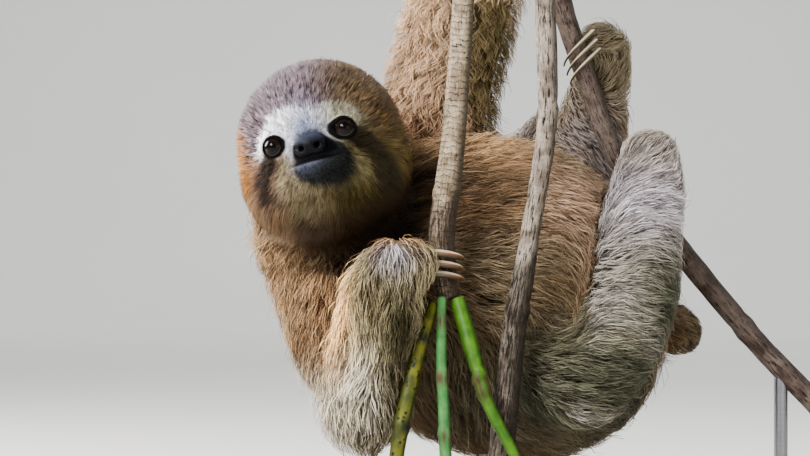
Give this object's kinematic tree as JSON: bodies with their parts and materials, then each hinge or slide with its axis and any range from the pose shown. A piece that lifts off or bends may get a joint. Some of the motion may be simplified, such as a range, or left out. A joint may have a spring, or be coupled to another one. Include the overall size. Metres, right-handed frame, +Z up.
{
  "type": "three-toed sloth model",
  "caption": "Life-size still model of a young three-toed sloth holding lianas and a slanting branch, head turned to the viewer, on a flat display stand.",
  "frame": {"origin": "middle of the underside of the stand's base", "axes": "+X from the sloth's head to its rump, +Y away from the side its face looks to, +Z up"},
  "size_m": [0.396, 0.25, 0.4362],
  "materials": {
    "coat": "long shaggy fur, rusty brown to pale grey-tan, with a cream and dark-striped face",
    "eyes": "wet gloss, nearly black brown",
    "nose_skin": "bare black skin, slightly moist",
    "claws": "pale horn, smooth, browner beneath",
    "bark": "grey-brown bark with ring scars and fine cracks",
    "green_stems": "smooth fresh green skin with dark spots",
    "stand_base": "dark stained wood, satin lacquer",
    "stand_rods": "brushed dark steel"
  },
  "bodies": {
    "root": {"branch_slanting": "bark", "claw_foot_left_1": "claws", "claw_foot_left_2": "claws", "claw_foot_left_3": "claws", "claw_foot_right_1": "claws", "claw_foot_right_2": "claws", "claw_foot_right_3": "claws", "claw_hand_left_1": "claws", "claw_hand_left_2": "claws", "claw_hand_left_3": "claws", "claw_hand_right_1": "claws", "claw_hand_right_2": "claws", "claw_hand_right_3": "claws", "eye_left": "eyes", "eye_right": "eyes", "foot_left": "coat", "foot_right": "coat", "forearm_left": "coat", "forearm_right": "coat", "hand_left": "coat", "hand_right": "coat", "head": "coat", "liana_front": "bark", "liana_hand": "bark", "neck": "coat", "nose": "nose_skin", "shin_left": "coat", "shin_right": "coat", "stand_base": "stand_base", "stand_rod_back": "stand_rods", "stand_rod_front": "stand_rods", "stem_green": "green_stems", "stem_leafy": "green_stems", "stem_yellow": "green_stems", "tail": "coat", "thigh_left": "coat", "thigh_right": "coat", "trunk": "coat", "upper_arm_left": "coat", "upper_arm_right": "coat"}
  },
  "joints": []
}
